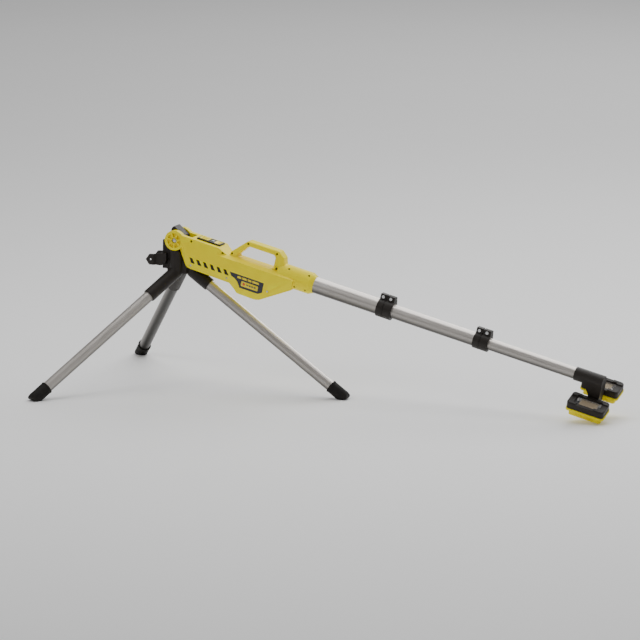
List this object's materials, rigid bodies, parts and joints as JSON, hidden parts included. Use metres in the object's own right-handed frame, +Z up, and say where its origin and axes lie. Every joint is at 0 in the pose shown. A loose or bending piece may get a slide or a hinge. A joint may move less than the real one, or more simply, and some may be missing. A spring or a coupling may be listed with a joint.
{
  "type": "cordless tripod work light",
  "caption": "Folded cordless work light: tripod stand, hinged battery body with loop handle, telescopic mast and a swivelling head with tilting lamps.",
  "frame": {"origin": "centre of the plan view of the folded light, on the floor under its feet", "axes": "+Z up; +X along the folded mast from the stand to the lamps; Y along the fold hinge"},
  "size_m": [1.6456, 0.8494, 0.474],
  "materials": {
    "yellow_plastic": "moulded, satin gloss",
    "button_plastic": "moulded, smooth",
    "black_plastic": "moulded, fine grain",
    "foot_rubber": "matte",
    "tube_aluminium": "satin anodised",
    "heat_sink_aluminium": "extruded",
    "dark_steel": "black oxide",
    "bright_steel": "zinc plated",
    "label_film": "printed film",
    "indicator_plastic": "translucent",
    "circuit_board": "solder mask",
    "cell_wrap": "shrink wrap",
    "grey_plastic": "self-lubricating",
    "lens_glass": "clear",
    "reflector": "vacuum metallised",
    "led_board": "LED array under phosphor"
  },
  "bodies": {
    "stand": {"tripod_hub": "black_plastic", "strap_bracket": "black_plastic", "bracket_screws": "dark_steel", "leg_tube_left": "tube_aluminium", "leg_tube_front": "tube_aluminium", "leg_tube_right": "tube_aluminium", "foot_left": "foot_rubber", "foot_front": "foot_rubber", "foot_right": "foot_rubber", "leg_screws": "dark_steel", "hinge_bush": "grey_plastic"},
    "battery_body": {"body_shell_left": "yellow_plastic", "body_shell_right": "yellow_plastic", "hinge_bolt": "bright_steel", "hinge_nut": "bright_steel", "hinge_washers": "bright_steel", "shell_screws": "dark_steel", "trim_screws": "bright_steel", "label_left": "label_film", "label_right": "label_film", "switch_bezel": "black_plastic", "charge_indicator": "indicator_plastic", "switch_board": "circuit_board", "battery_cells": "cell_wrap", "battery_tray": "grey_plastic", "driver_board": "circuit_board", "mast_tube_lower": "tube_aluminium", "lower_clamp": "black_plastic", "lower_clamp_screws": "bright_steel", "lower_lever_pin": "bright_steel"},
    "power_button": {"power_button": "button_plastic"},
    "brightness_button": {"brightness_button": "button_plastic"},
    "lower_lever": {"lower_clamp_lever": "black_plastic"},
    "middle_mast": {"mast_tube_middle": "tube_aluminium", "guide_bush_middle": "grey_plastic", "upper_clamp": "black_plastic", "upper_clamp_screws": "bright_steel", "upper_lever_pin": "bright_steel"},
    "upper_lever": {"upper_clamp_lever": "black_plastic"},
    "upper_mast": {"mast_tube_upper": "tube_aluminium", "guide_bush_upper": "grey_plastic", "swivel_ring": "grey_plastic"},
    "lamp_head": {"head_bracket": "black_plastic", "lamp_axle": "bright_steel"},
    "lamp_left": {"lamp_left_housing": "yellow_plastic", "lamp_left_bezel": "black_plastic", "lamp_left_lens": "lens_glass", "lamp_left_reflector": "reflector", "lamp_left_led_panel": "led_board", "lamp_left_heat_sink": "heat_sink_aluminium", "lamp_left_screws": "dark_steel"},
    "lamp_right": {"lamp_right_housing": "yellow_plastic", "lamp_right_bezel": "black_plastic", "lamp_right_lens": "lens_glass", "lamp_right_reflector": "reflector", "lamp_right_led_panel": "led_board", "lamp_right_heat_sink": "heat_sink_aluminium", "lamp_right_screws": "dark_steel"}
  },
  "joints": [
    {"name": "body_fold", "type": "hinge", "parent": "stand", "child": "battery_body", "pos_m": [-0.5205, 0, 0.434], "axis": [0, 1, 0], "range_deg": [-103.72, 0]},
    {"name": "power_push", "type": "slide", "parent": "battery_body", "child": "power_button", "axis": [-0.2372, 0, -0.9715], "range_m": [0, 0.0025], "stiffness_N_per_m": 900, "springref_m": -0.001},
    {"name": "brightness_push", "type": "slide", "parent": "battery_body", "child": "brightness_button", "axis": [-0.2372, 0, -0.9715], "range_m": [0, 0.0025], "stiffness_N_per_m": 900, "springref_m": -0.001},
    {"name": "lower_lever_turn", "type": "hinge", "parent": "battery_body", "child": "lower_lever", "pos_m": [0.13845, 0.0142, 0.30812], "axis": [0.9715, 0, -0.2372], "range_deg": [0, 110]},
    {"name": "middle_slide", "type": "slide", "parent": "battery_body", "child": "middle_mast", "axis": [0.9715, 0, -0.2372], "range_m": [-0.255, 0]},
    {"name": "upper_lever_turn", "type": "hinge", "parent": "middle_mast", "child": "upper_lever", "pos_m": [0.43446, 0.0142, 0.23251], "axis": [0.9715, 0, -0.2372], "range_deg": [0, 110]},
    {"name": "upper_slide", "type": "slide", "parent": "middle_mast", "child": "upper_mast", "axis": [0.9715, 0, -0.2372], "range_m": [-0.27, 0]},
    {"name": "head_swivel", "type": "hinge", "parent": "upper_mast", "child": "lamp_head", "pos_m": [0.75309, 0, 0.12306], "axis": [0.9715, 0, -0.2372], "range_deg": [-114, 66]},
    {"name": "left_tilt", "type": "hinge", "parent": "lamp_head", "child": "lamp_left", "pos_m": [0.7489, -0.01878, 0.0321], "axis": [0.0965, 0.9135, 0.3951], "range_deg": [-90, 90]},
    {"name": "right_tilt", "type": "hinge", "parent": "lamp_head", "child": "lamp_right", "pos_m": [0.75922, 0.07897, 0.07438], "axis": [0.0965, 0.9135, 0.3951], "range_deg": [-90, 90]}
  ]
}
